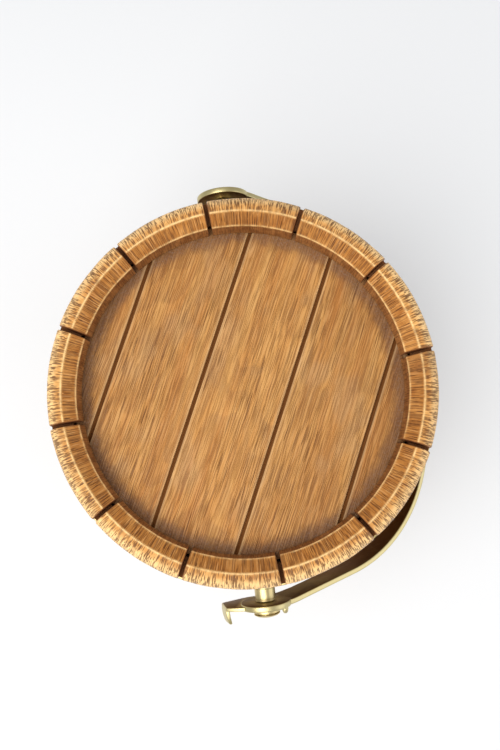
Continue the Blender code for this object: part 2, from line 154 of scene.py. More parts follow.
def turned(profile, axis, origin, segments):
    """Points and faces of a solid turned about a line, from (along, radius) pairs."""
    axis = Vector(axis).normalized()
    side = axis.cross(Vector((0, 0, 1)))
    side = Vector((1, 0, 0)) if side.length < 1e-6 else side.normalized()
    up = axis.cross(side)
    points, rows, faces = [], [], []
    for along, radius in profile:
        base = Vector(origin) + axis * along
        if radius == 0:
            rows.append([len(points)])
            points.append(base)
            continue
        row = []
        for k in range(segments):
            a = 2 * math.pi * k / segments
            row.append(len(points))
            points.append(base + side * (radius * math.cos(a)) + up * (radius * math.sin(a)))
        rows.append(row)
    pairs = list(zip(rows, rows[1:]))
    if len(rows[0]) > 1:
        pairs.append((rows[-1], rows[0]))
    for a, b in pairs:
        for k in range(segments):
            n = (k + 1) % segments
            if len(a) == 1:
                faces.append((a[0], b[k], b[n]))
            elif len(b) == 1:
                faces.append((a[k], b[0], a[n]))
            else:
                faces.append((a[k], b[k], b[n], a[n]))
    return points, faces


def rounded(points, radii, steps=4):
    """An open line in the plane with its corners rounded."""
    out = [points[0]]
    for i in range(1, len(points) - 1):
        r = radii[i]
        p, a, b = (np.array(points[j], float) for j in (i, i - 1, i + 1))
        if not r:
            out.append(tuple(p))
            continue
        u, v = (a - p) / np.linalg.norm(a - p), (b - p) / np.linalg.norm(b - p)
        half = math.acos(max(-1, min(1, float(u @ v)))) / 2
        cut = r / math.tan(half)
        start, end = p + u * cut, p + v * cut
        for k in range(steps + 1):
            t = k / steps
            out.append(tuple((1 - t) ** 2 * start + 2 * t * (1 - t) * p + t * t * end))
    out.append(points[-1])
    return out


def spaced(line, step):
    """The line with points added so that none is further than step(point) from the next."""
    out = [line[0]]
    for a, b in zip(line, line[1:]):
        a, b = np.array(a, float), np.array(b, float)
        n = max(1, math.ceil(np.linalg.norm(b - a) / step((a + b) / 2)))
        out += [tuple(a + (b - a) * k / n) for k in range(1, n + 1)]
    return out


def smoothstep(x, low, high):
    t = np.clip((np.asarray(x, float) - low) / (high - low), 0, 1)
    return t * t * (3 - 2 * t)


# ---- material helpers ------------------------------------------------------------
class Shade:
    """A Principled material and short names for the nodes that feed it."""

    def __init__(self, name):
        self.mat = bpy.data.materials.new(name)
        self.mat.use_nodes = True
        self.tree = self.mat.node_tree
        self.shader = self.tree.nodes["Principled BSDF"]

    def node(self, kind, **settings):
        n = self.tree.nodes.new("ShaderNode" + kind)
        for key, value in settings.items():
            setattr(n, key, value)
        return n

    def put(self, socket, value):
        if isinstance(value, bpy.types.NodeSocket):
            self.tree.links.new(value, socket)
        elif value is not None:
            if hasattr(socket.default_value, "__len__") and not hasattr(value, "__len__"):
                value = [value] * len(socket.default_value)
            if hasattr(socket.default_value, "__len__") and len(value) == 3 and len(socket.default_value) == 4:
                value = (*value, 1.0)
            socket.default_value = value

    def attribute(self, name, vector=False):
        n = self.node("Attribute", attribute_name=name)
        return n.outputs["Vector" if vector else "Fac"]

    def object(self):
        return self.node("TexCoord").outputs["Object"]

    def math(self, operation, a, b=None, c=None, clamp=False):
        n = self.node("Math", operation=operation, use_clamp=clamp)
        for i, value in enumerate((a, b, c)):
            if value is not None:
                self.put(n.inputs[i], value)
        return n.outputs[0]

    def vector(self, operation, a, b=None):
        n = self.node("VectorMath", operation=operation)
        self.put(n.inputs[0], a)
        if b is not None:
            self.put(n.inputs[1], b)
        return n.outputs[0]

    def combine(self, x, y, z):
        n = self.node("CombineXYZ")
        for i, value in enumerate((x, y, z)):
            self.put(n.inputs[i], value)
        return n.outputs[0]

    def split(self, v):
        n = self.node("SeparateXYZ")
        self.put(n.inputs[0], v)
        return n.outputs

    def noise(self, v, scale=1.0, detail=2.0, roughness=0.5, distortion=0.0):
        n = self.node("TexNoise")
        self.put(n.inputs["Vector"], v)
        self.put(n.inputs["Scale"], scale)
        self.put(n.inputs["Detail"], detail)
        self.put(n.inputs["Roughness"], roughness)
        self.put(n.inputs["Distortion"], distortion)
        return n.outputs[0]

    def streak(self, v, across, along, depth=None, detail=2.0, roughness=0.5, shift=(0, 0, 0)):
        """Noise whose spots are across wide and along long, in millimetres."""
        scaled = self.vector("MULTIPLY", v, (1 / across, 1 / along, 1 / (depth or along)))
        return self.noise(self.vector("ADD", scaled, shift), 1.0, detail, roughness)

    def dash(self, v, across, along, full, none, shift=(0, 0, 0), ragged=0.16):
        """Thin strokes, one to a cell of the given size in millimetres."""
        scaled = self.vector("ADD", self.vector("MULTIPLY", v, (1 / across, 1 / along, 1 / along)), shift)
        n = self.node("TexVoronoi", feature="F1", voronoi_dimensions="3D")
        self.put(n.inputs["Vector"], scaled)
        self.put(n.inputs["Scale"], 1.0)
        wobble = self.math("MULTIPLY", self.math("SUBTRACT", self.noise(scaled, 2.3, 2.0, 0.6), 0.5), ragged * 2)
        return self.range(self.math("ADD", n.outputs["Distance"], wobble), full, none, 1.0, 0.0)

    def range(self, value, a, b, c=0.0, d=1.0, smooth=True):
        n = self.node("MapRange", interpolation_type="SMOOTHSTEP" if smooth else "LINEAR")
        for i, v in enumerate((value, a, b, c, d)):
            self.put(n.inputs[i], v)
        return n.outputs[0]

    def ramp(self, value, stops):
        n = self.node("ValToRGB")
        self.put(n.inputs[0], value)
        elements = n.color_ramp.elements
        while len(elements) < len(stops):
            elements.new(0.5)
        for e, (place, colour) in zip(elements, stops):
            e.position, e.color = place, (*colour, 1.0)
        return n.outputs[0]

    def mix(self, factor, a, b, blend="MIX"):
        n = self.node("Mix", data_type="RGBA", blend_type=blend, clamp_factor=True)
        self.put(n.inputs["Factor"], factor)
        self.put(n.inputs[6], a)
        self.put(n.inputs[7], b)
        return n.outputs[2]

    def bump(self, height, strength, distance, normal=None):
        n = self.node("Bump")
        self.put(n.inputs["Strength"], strength)
        self.put(n.inputs["Distance"], distance)
        self.put(n.inputs["Height"], height)
        if normal is not None:
            self.put(n.inputs["Normal"], normal)
        return n.outputs[0]

    def out(self, **values):
        for key, value in values.items():
            self.put(self.shader.inputs[key.replace("_", " ").title().replace("Ior", "IOR")], value)
        return self.mat


# ---- oak of the staves -------------------------------------------------------------
def stave_material():
    s = Shade("oak_staves")
    g = s.attribute("grain", True)
    u, v, w = s.split(g)
    # the grain wanders a little across the stave
    drift = s.math("SUBTRACT", s.streak(g, 22, 70, detail=1.0), 0.5)
    u2 = s.math("ADD", u, s.math("MULTIPLY", drift, 5.0))
    g2 = s.combine(u2, v, w)
    tone = s.attribute("tone")

    # the belly: long dark pores and lighter bands along the stave
    band = s.streak(g2, 7, 160, detail=3.0)
    pores = s.streak(g2, 0.55, 11, detail=3.0, roughness=0.6, shift=(9.1, 2.3, 0))
    pore_mask = s.range(pores, 0.55, 0.72)
    belly = s.ramp(band, [(0.25, (0.235, 0.108, 0.040)), (0.5, (0.375, 0.185, 0.070)), (0.78, (0.520, 0.285, 0.120))])
    belly = s.mix(s.math("MULTIPLY", pore_mask, 0.72), belly, (0.115, 0.047, 0.018))

    # the end: golden tan with short dark strokes that run towards the axis
    patch = s.streak(g, 6.5, 7.0, 7.0, detail=2.0, shift=(3.3, 0, 7.7))
    end = s.ramp(patch, [(0.25, (0.475, 0.198, 0.046)), (0.5, (0.590, 0.272, 0.070)), (0.8, (0.710, 0.375, 0.116))])
    gate = s.streak(g, 5.0, 4.0, 4.0, detail=2.0, shift=(7.0, 2.0, 0))
    end_dash = s.math("MULTIPLY", s.dash(g, 0.92, 8.0, 0.25, 0.35, (1.7, 0, 4.1), 0.10), s.range(gate, 0.30, 0.55, 0.60, 1.0))
    end_dash = s.math("MAXIMUM", end_dash, s.math("MULTIPLY", s.dash(g, 0.85, 4.5, 0.22, 0.32, (5.2, 0, 1.9), 0.10), 0.90))
    ticks = s.range(s.streak(g, 0.52, 8.0, 8.0, detail=1.0, roughness=0.4, shift=(31.0, 2.0, 7.0)), 0.50, 0.60)
    end_dash = s.math("MAXIMUM", end_dash, s.math("MULTIPLY", ticks, s.range(gate, 0.28, 0.55, 0.35, 0.90)))
    end_light = s.dash(g, 1.0, 6.0, 0.22, 0.34, (2.1, 3.0, 7.9))

    # the bevel and the wall: darker, browner copies of the end's colour, painted shade on these inward-facing surfaces,
    # with fine lines right across
    bevel_dash = s.math("MULTIPLY", s.dash(g, 0.95, 16.0, 0.25, 0.35, (2.9, 0, 8.8), 0.08), s.range(gate, 0.30, 0.60, 0.60, 1.0))
    bevel_dash = s.math("MAXIMUM", bevel_dash, s.math("MULTIPLY", s.dash(g, 0.85, 9.0, 0.20, 0.30, (12.9, 0, 3.8), 0.08), 0.7))
    ticks_b = s.range(s.streak(g, 0.52, 26.0, 26.0, detail=1.0, roughness=0.4, shift=(11.0, 2.0, 3.0)), 0.50, 0.60)
    bevel_dash = s.math("MAXIMUM", bevel_dash, s.math("MULTIPLY", ticks_b, 0.62))
    bevel_light = s.dash(g, 1.2, 15.0, 0.22, 0.34, (6.1, 9.0, 2.9))
    bevel = s.ramp(patch, [(0.25, (0.360, 0.130, 0.024)), (0.5, (0.460, 0.188, 0.040)), (0.8, (0.570, 0.268, 0.074))])

    # the rounded outer edge is painted paler than the flat: a painted highlight
    end = s.mix(s.range(w, 90.5, 94.5, 0.0, 0.85), end, (0.960, 0.620, 0.270))
    colour = s.mix(s.attribute("end"), belly, end)
    colour = s.mix(s.math("MULTIPLY", s.math("MULTIPLY", s.attribute("end"), end_light), 0.55), colour, (0.860, 0.520, 0.200))
    colour = s.mix(s.attribute("bevel"), colour, bevel)
    colour = s.mix(s.math("MULTIPLY", s.math("MULTIPLY", s.attribute("bevel"), bevel_light), 0.50), colour, (0.700, 0.360, 0.130))
    # the wall is darker still: painted shade down inside the chime
    wall = s.ramp(patch, [(0.25, (0.256, 0.096, 0.025)), (0.5, (0.352, 0.146, 0.042)), (0.8, (0.475, 0.216, 0.068))])
    colour = s.mix(s.attribute("wall"), colour, wall)
    bevelled = s.math("MAXIMUM", s.attribute("bevel"), s.math("MULTIPLY", s.attribute("wall"), 0.8))
    # the strokes stop where one surface gives way to the next
    ended = s.math("MULTIPLY", s.attribute("end"), s.math("SUBTRACT", 1.0, s.attribute("bevel")), clamp=True)
    dashes = s.math("MAXIMUM", s.math("MULTIPLY", ended, end_dash), s.math("MULTIPLY", bevelled, bevel_dash))
    colour = s.mix(s.math("MULTIPLY", dashes, 0.90), colour, (0.105, 0.034, 0.009))
    # pale arrises, broken here and there: painted highlight along the edges, with some wear
    highlight_and_wear = s.math("MULTIPLY", s.attribute("line"), s.range(s.streak(g, 3.0, 3.0, 3.0, detail=3.0, shift=(4, 4, 4)), 0.30, 0.62, 0.35, 1.0))
    colour = s.mix(highlight_and_wear, colour, (0.920, 0.600, 0.260))
    # each stave has its own tone
    colour = s.mix(1.0, colour, s.ramp(tone, [(0.0, (0.86, 0.82, 0.78)), (0.5, (1.0, 1.0, 1.0)), (1.0, (1.10, 1.12, 1.14))]), "MULTIPLY")
    colour = s.mix(s.attribute("kerf"), colour, (0.300, 0.120, 0.042))
    # dirt gathered in places on the belly
    grime = s.range(s.noise(s.vector("MULTIPLY", g, (0.022, 0.022, 0.022)), 1.0, 4.0, 0.6), 0.52, 0.75)
    colour = s.mix(s.math("MULTIPLY", grime, 0.30), colour, (0.130, 0.062, 0.028))

    height = s.math("SUBTRACT", 1.0, s.math("MAXIMUM", dashes, s.math("MULTIPLY", pore_mask, 0.6)))
    fine = s.streak(g, 0.3, 3.0, 3.0, detail=3.0, roughness=0.6, shift=(0, 6, 6))
    height = s.math("ADD", height, s.math("MULTIPLY", fine, 0.6))
    rough = s.range(s.streak(g, 3.0, 12.0, detail=3.0, shift=(8, 1, 1)), 0.3, 0.7, 0.42, 0.62)
    return s.out(base_color=colour, roughness=rough, normal=s.bump(height, 0.7, 0.00022), specular_ior_level=0.22)


# ---- oak of the heads ---------------------------------------------------------------
def head_material():
    s = Shade("oak_heads")
    g = s.attribute("grain", True)
    u, v, w = s.split(g)
    drift = s.math("SUBTRACT", s.streak(g, 30, 120, detail=1.0), 0.5)
    curl = s.math("SUBTRACT", s.streak(g, 9.0, 11.0, detail=1.0, shift=(2.0, 14.0, 0)), 0.5)
    u2 = s.math("ADD", s.math("ADD", u, s.math("MULTIPLY", drift, 3.0)), s.math("MULTIPLY", curl, 0.6))
    g2 = s.combine(u2, v, w)
    patch = s.streak(g2, 8, 150, detail=3.0, shift=(3.0, 8.0, 0))
    colour = s.ramp(
        patch,
        [(0.28, (0.460, 0.180, 0.038)), (0.46, (0.508, 0.227, 0.056)), (0.60, (0.545, 0.265, 0.072)), (0.78, (0.585, 0.308, 0.096))],
    )
    # growth bands that arch along the board
    ring = s.math("FRACT", s.math("MULTIPLY", s.streak(g, 38, 150, detail=1.0, shift=(5.0, 1.0, 0)), 17.0))
    ring = s.math("MULTIPLY", s.range(ring, 0.0, 0.85), s.range(ring, 1.0, 0.86))
    colour = s.mix(s.math("MULTIPLY", ring, 0.26), colour, (0.210, 0.086, 0.026))
    # rubbed greyer places
    rubbed = s.range(s.streak(g, 20, 34, detail=2.0, shift=(9.0, 4.0, 0)), 0.50, 0.68)
    colour = s.mix(s.math("MULTIPLY", rubbed, 0.38), colour, (0.440, 0.255, 0.115))
    # close fine grain, and thin dark pores, in some places more than in others
    gate = s.streak(g2, 9.0, 95.0, detail=2.0, shift=(6.0, 3.0, 0))
    lines = s.streak(g2, 0.40, 21.0, detail=1.0, roughness=0.4, shift=(31.0, 7.0, 0))
    close = s.math("MULTIPLY", s.range(lines, 0.50, 0.60), s.range(gate, 0.30, 0.60, 0.60, 1.0))
    bright = s.math("MULTIPLY", s.range(lines, 0.48, 0.38), s.range(gate, 0.30, 0.60, 0.60, 1.0))
    colour = s.mix(s.math("MULTIPLY", bright, 0.18), colour, (0.740, 0.460, 0.190))
    dark = s.math("MULTIPLY", s.dash(g2, 1.15, 27.0, 0.15, 0.26, (1.0, 2.0, 0), 0.08), s.range(gate, 0.36, 0.60, 0.35, 1.0))
    dark = s.math("MAXIMUM", dark, s.math("MULTIPLY", s.dash(g2, 0.90, 10.0, 0.17, 0.28, (8.0, 5.0, 0), 0.10), 0.30))
    dark = s.math("MAXIMUM", dark, s.math("MULTIPLY", close, 0.66))
    colour = s.mix(s.math("MULTIPLY", dark, 0.86), colour, (0.125, 0.040, 0.008))
    # paler fibres between the pores
    pale = s.dash(g2, 1.0, 14.0, 0.19, 0.30, (20.0, 5.0, 3.0), 0.10)
    colour = s.mix(s.math("MULTIPLY", pale, 0.14), colour, (0.760, 0.460, 0.185))
    # darker towards the chime wall: painted shade in that corner, with some dirt; grey dust there too
    edge = s.attribute("edge")
    wander = s.math("MULTIPLY", s.math("SUBTRACT", s.noise(s.vector("MULTIPLY", g, (0.10, 0.10, 0.10)), 1.0, 3.0, 0.6), 0.5), 7.0)
    nibble = s.math("MULTIPLY", s.math("SUBTRACT", s.noise(s.vector("MULTIPLY", g, (0.45, 0.45, 0.45)), 1.0, 3.0, 0.7), 0.5), 5.0)
    near = s.math("ADD", s.math("ADD", edge, wander), nibble)
    shade_and_dirt = s.range(near, 9.0, 2.0)
    colour = s.mix(s.math("MULTIPLY", shade_and_dirt, 0.66), colour, (0.140, 0.058, 0.023))
    dust = s.math("MULTIPLY", s.range(near, 6.5, 2.5), s.range(near, -1.5, 1.0))
    speck = s.noise(s.vector("MULTIPLY", g, (0.9, 0.9, 0.9)), 1.0, 4.0, 0.75)
    colour = s.mix(s.math("MULTIPLY", dust, s.range(speck, 0.42, 0.75, 0.02, 0.60)), colour, (0.290, 0.195, 0.145))
    tone = s.attribute("tone")
    colour = s.mix(1.0, colour, s.ramp(tone, [(0.0, (0.74, 0.70, 0.68)), (0.5, (1.0, 1.0, 1.0)), (1.0, (1.08, 1.09, 1.10))]), "MULTIPLY")
    colour = s.mix(s.attribute("kerf"), colour, (0.140, 0.047, 0.008))
    # pale arrises beside the grooves: painted highlight, with some wear
    colour = s.mix(s.math("MULTIPLY", s.attribute("line"), 0.45), colour, (0.740, 0.470, 0.220))
    height = s.math("SUBTRACT", 1.0, dark)
    fine = s.streak(g2, 0.35, 3.5, detail=3.0, roughness=0.6, shift=(4, 4, 0))
    height = s.math("ADD", height, s.math("MULTIPLY", fine, 0.7))
    rough = s.range(s.streak(g2, 5.0, 16.0, detail=3.0), 0.3, 0.7, 0.42, 0.60)
    rough = s.math("ADD", rough, s.math("MULTIPLY", s.attribute("kerf"), 0.4), clamp=True)
    return s.out(base_color=colour, roughness=rough, normal=s.bump(height, 0.8, 0.0003), specular_ior_level=0.22)


# ---- brass ------------------------------------------------------------------------------
def brass_material(name, pale, deep, tarnish, sheltered=False):
    s = Shade(name)
    p = s.vector("MULTIPLY", s.object(), (1000.0, 1000.0, 1000.0))
    cloud = s.noise(p, 0.045, 4.0, 0.6)
    colour = s.ramp(cloud, [(0.3, deep), (0.7, pale)])
    stain = s.range(s.noise(p, 0.16, 5.0, 0.7), 0.56, 0.74)
    colour = s.mix(s.math("MULTIPLY", stain, tarnish), colour, (0.36, 0.23, 0.10))
    if sheltered:  # painted shade and reflection: the face towards the staves is made dark brown
        inner_shade = s.math("MULTIPLY", s.attribute("sheltered"), s.range(s.noise(p, 0.11, 4.0, 0.65), 0.2, 0.6, 0.86, 1.0))
        colour = s.mix(inner_shade, colour, (0.115, 0.055, 0.017))
    brushed = s.noise(s.vector("MULTIPLY", p, (1.0, 1.0, 14.0)), 0.35, 4.0, 0.7)
    scratch = s.noise(s.vector("MULTIPLY", p, (0.3, 0.3, 9.0)), 0.6, 3.0, 0.6)
    rough = s.range(s.math("ADD", s.math("MULTIPLY", cloud, 0.5), s.math("MULTIPLY", scratch, 0.5)), 0.3, 0.7, 0.30, 0.46)
    height = s.math("ADD", s.math("MULTIPLY", brushed, 0.5), s.math("MULTIPLY", s.noise(p, 0.5, 2.0, 0.5), 0.5))
    return s.out(base_color=colour, metallic=1.0, roughness=rough, normal=s.bump(height, 0.25, 0.00008))


def plain_wood(name, light, dark, across):
    """Turned or sawn wood in object space, with its fibres along across."""
    s = Shade(name)
    p = s.vector("MULTIPLY", s.object(), (1000.0, 1000.0, 1000.0))
    stretch = tuple(1 / 9 if k == across else 1 / 0.5 for k in range(3))
    fibre = s.noise(s.vector("MULTIPLY", p, stretch), 1.0, 3.0, 0.6)
    cloud = s.noise(p, 0.12, 3.0, 0.5)
    colour = s.ramp(cloud, [(0.3, dark), (0.7, light)])
    colour = s.mix(s.math("MULTIPLY", s.range(fibre, 0.55, 0.72), 0.6), colour, tuple(c * 0.4 for c in dark))
    return s.out(base_color=colour, roughness=s.range(fibre, 0.3, 0.7, 0.50, 0.68), normal=s.bump(fibre, 0.4, 0.0001))


OAK = stave_material()
OAK_HEAD = head_material()
BRASS = brass_material("satin_brass", (0.700, 0.575, 0.300), (0.580, 0.455, 0.215), 0.20)
BRASS_HANDLE = brass_material("satin_brass_handle", (0.620, 0.530, 0.280), (0.520, 0.430, 0.205), 0.18, True)
BRASS_HOOP = brass_material("aged_brass_hoops", (0.640, 0.500, 0.235), (0.480, 0.350, 0.150), 0.45)
BEECH = plain_wood("beech_dowels", (0.640, 0.460, 0.270), (0.520, 0.350, 0.190), 0)
BUNG_WOOD = plain_wood("beech_bung", (0.600, 0.400, 0.200), (0.430, 0.260, 0.110), 1)

# ---- staves --------------------------------------------------------------------------------
def half_profile():
    """(radius, h) from the outside at mid height, round one end, to the inside at mid height."""
    outer = [(outside(h), h) for h in np.linspace(TOP, SHOULDER_H, 44)]
    knots = [(98.62, 12.0), (R_SHOULDER, SHOULDER_H), (97.7, 7.2), (96.6, 4.3), (94.6, 1.7), (R_END_OUT, 0.0), (89.5, -0.9)]
    curve = []
    for i in range(1, len(knots) - 2):
        p0, p1, p2, p3 = (np.array(knots[i + k], float) for k in (-1, 0, 1, 2))
        for k in range(8):
            t = k / 8
            curve.append(tuple(0.5 * (2 * p1 + (p2 - p0) * t + (2 * p0 - 5 * p1 + 4 * p2 - p3) * t * t + (3 * p1 - p0 - 3 * p2 + p3) * t**3)))
    corner = [
        (R_END_OUT, 0.0), (R_END_IN, 0.0), (R_CHIME, BEVEL_H), (R_CHIME, HEAD_H - GAP),
        (CROZE_R, HEAD_H - GAP), (CROZE_R, 24.3), (R_CHIME, 24.3),
    ]
    corner = rounded(corner, (0, 0.7, 0.7, 0, 0, 0, 0), 4)
    fine = lambda p: 0.45 if p[1] < 6.5 else (1.2 if p[1] < 17.7 else 4.0)
    corner = spaced(corner, fine)
    inner = [(inside(h), h) for h in np.linspace(24.3, TOP, 9)][1:]
    return outer[:-1] + curve + corner + inner


def joint_loop():
    out = [KERF_H, 30.0, 58.0, 95.0, TOP]
    outer = [(outside(h) - KERF_DEPTH, TOP - h) for h in out]
    outer += [(outside(h) - KERF_DEPTH, h - TOP) for h in reversed(out[:-1])]
    back = [(CROZE_R + 1.0, HEAD_H + 0.6), (CROZE_R + 1.0, 26.3)]
    inn = back + [(inside(h) + 0.6, h) for h in (60.0, TOP)]
    inner = [(r, TOP - h) for r, h in inn]
    inner += [(r, h - TOP) for r, h in reversed(inn[:-1])]
    return outer + list(reversed(inner))


def stave_shape():
    """One stave centred on +X, with its points, faces and the masks that its material reads."""
    half = half_profile()
    line = [(r, TOP - h, h) for r, h in half] + [(r, h - TOP, h) for r, h in reversed(half[:-1])]
    line = line[:-1] if abs(line[-1][0] - line[0][0]) < 1e-6 and abs(line[-1][1] - line[0][1]) < 1e-6 else line
    prof = np.array(line)
    n = len(prof)
    tangent = np.roll(prof[:, :2], -1, 0) - np.roll(prof[:, :2], 1, 0)
    tangent /= np.linalg.norm(tangent, axis=1)[:, None]
    area = 0.5 * np.sum(prof[:, 0] * np.roll(prof[:, 1], -1) - np.roll(prof[:, 0], -1) * prof[:, 1])
    normal = np.stack([tangent[:, 1], -tangent[:, 0]], 1) * (1 if area > 0 else -1)
    r, h = prof[:, 0], prof[:, 2]
    index = np.arange(n)
    k_end = int(np.argmin(np.hypot(r - R_CHIME, h - (HEAD_H - GAP)) + (index > n // 2) * 1e3))
    hidden = (index > k_end) & (index < n - k_end)
    shown = np.where(hidden, 0.0, 1.0)
    shown *= np.where((r < 84) & (h > 15.5), 0.0, 1.0)
    to_line1 = np.hypot(r - R_END_IN, h)
    to_line2 = np.hypot(r - R_CHIME, h - BEVEL_H)
    on_bevel = (r < R_END_IN + 0.05) & (h < BEVEL_H + 0.2) & ~hidden
    bevel = smoothstep(R_END_IN - r, 0.15, 0.9) * (h < BEVEL_H + 0.3) * ~hidden
    wall = smoothstep(h, BEVEL_H + 0.1, BEVEL_H + 1.1) * (r < R_CHIME + 0.4) * ~hidden
    end = smoothstep(13.0 - h, 0.0, 7.0) * ((r > R_END_IN - 0.5) & ~hidden)
    end = np.maximum(end, on_bevel * 1.0)
    # pale lines along the two arrises and on the outer round: painted highlight, with some wear
    highlight_and_wear = np.maximum(np.exp(-((to_line1 / 0.50) ** 2)), 1.0 * np.exp(-((to_line2 / 0.60) ** 2)))
    highlight_and_wear = np.maximum(highlight_and_wear, 0.15 * np.exp(-(((h - 4.0) / 2.5) ** 2)) * (r > 94))
    highlight_and_wear *= ~hidden
    k_half = math.pi / STAVES
    near = [0.0, 0.12, 0.3, 0.55, 0.9, 1.5]
    width = 95 * (k_half - math.asin(KERF / 2 / 95))
    ds = near + list(np.linspace(3.0, width, 12))
    t = np.array([1 - d / width for d in ds])
    stations = np.concatenate([-t, t[-2::-1]])
    depth = np.array(ds + ds[-2::-1])
    soft = 0.75
    drop = soft - np.sqrt(np.clip(soft**2 - np.clip(soft - depth, 0, None) ** 2, 0, None))
    side_angle = k_half - np.arcsin(KERF / 2 / r)
    dark = np.interp(depth, [0, 0.12, 0.3, 0.55, 0.9], [1, 0.85, 0.4, 0.12, 0.0])
    return dict(prof=prof, normal=normal, shown=shown, bevel=bevel, wall=wall, end=end, highlight_and_wear=highlight_and_wear, stations=stations, drop=drop, side=side_angle, dark=dark, hidden=hidden)


SHAPE = stave_shape()
JOINT = joint_loop()


def build_stave(k):
    rng = np.random.default_rng(100 + k)
    prof, normal = SHAPE["prof"], SHAPE["normal"]
    n, m = len(prof), len(SHAPE["stations"])
    centre = math.radians(90 - (STAVE_BEARING + 360 / STAVES * (k + 0.5)))
    seed = Vector((17.3 * k, 5.1 * k, 3.7))
    points = np.zeros((n, m, 3))
    grain = np.zeros((n, m, 3))
    for j, s in enumerate(SHAPE["stations"]):
        angle = SHAPE["side"] * s
        rough = np.array(
            [
                0.16 * noise.noise(Vector((p[0] * 0.05 + 3, p[1] * 0.05, s * 2.2)) + seed) + 0.07 * noise.noise(Vector((p[0] * 0.3, p[1] * 0.3, s * 9.0)) + seed)
                for p in prof
            ]
        )
        inward = (SHAPE["drop"][j] + np.clip(rough, -0.12, 0.3) * 0.8 + 0.06) * SHAPE["shown"]
        rr = prof[:, 0] - normal[:, 0] * inward
        zz = prof[:, 1] - normal[:, 1] * inward
        a = centre + angle
        points[:, j] = np.stack([rr * np.cos(a), rr * np.sin(a), zz], 1)
        grain[:, j] = np.stack([angle * 95 + 61.0 * (k + 1), prof[:, 1] + 211.0 * k, prof[:, 0]], 1)
    masks = {key: np.repeat(SHAPE[key][:, None], m, 1) for key in ("bevel", "wall", "end", "highlight_and_wear")}
    kerf = np.repeat(SHAPE["dark"][None, :], n, 0)
    points, grain = points.reshape(-1, 3), grain.reshape(-1, 3)
    faces = []
    ids = np.arange(n * m).reshape(n, m)
    nxt = np.roll(ids, -1, 0)
    for i in range(n):
        faces += [(int(ids[i, j]), int(ids[i, j + 1]), int(nxt[i, j + 1]), int(nxt[i, j])) for j in range(m - 1)]
    extra, extra_grain = [], []
    for sign, column in ((-1, 0), (1, m - 1)):
        edge = [int(x) for x in ids[:, column]]
        loops = []
        for setback in (KERF / 2, SEAM / 2):
            loop = []
            for r, z in JOINT:
                a = centre + sign * (math.pi / STAVES - math.asin(setback / r))
                loop.append(n * m + len(extra))
                extra.append((r * math.cos(a), r * math.sin(a), z))
                extra_grain.append((sign * 24 + 61.0 * (k + 1), z + 211.0 * k, r))
            loops.append(loop)
        flat_edge = [Vector((math.hypot(points[i][0], points[i][1]), points[i][2], 0)) for i in edge]
        flat_joint = [Vector((r, z, 0)) for r, z in JOINT]
        order = edge + loops[0]
        faces += [tuple(order[i] for i in tri) for tri in tessellate_polygon([flat_edge, flat_joint])]
        q = len(JOINT)
        faces += [(loops[0][i], loops[0][(i + 1) % q], loops[1][(i + 1) % q], loops[1][i]) for i in range(q)]
        faces += [tuple(loops[1][i] for i in tri) for tri in tessellate_polygon([flat_joint])]
    count = len(extra)
    pad = lambda a, value: np.concatenate([a.reshape(-1), np.full(count, value)])
    return make(
        f"oak_stave_{k + 1:02d}",
        np.concatenate([points, np.array(extra)]),
        faces,
        OAK,
        "barrel",
        (f"stave_{k + 1:02d}",),
        {
            "grain": np.concatenate([grain, np.array(extra_grain)]),
            "bevel": pad(masks["bevel"], 0.0),
            "wall": pad(masks["wall"], 0.0),
            "end": pad(masks["end"], 0.0),
            "line": pad(masks["highlight_and_wear"], 0.0),
            "kerf": pad(kerf, 1.0),
            "tone": np.full(n * m + count, rng.uniform(0.15, 0.9)),
        },
    )


staves = [build_stave(k) for k in range(STAVES)]


def stave_at(angle):
    return staves[int(((angle - STAVE_BEARING) % 360) // (360 / STAVES))]


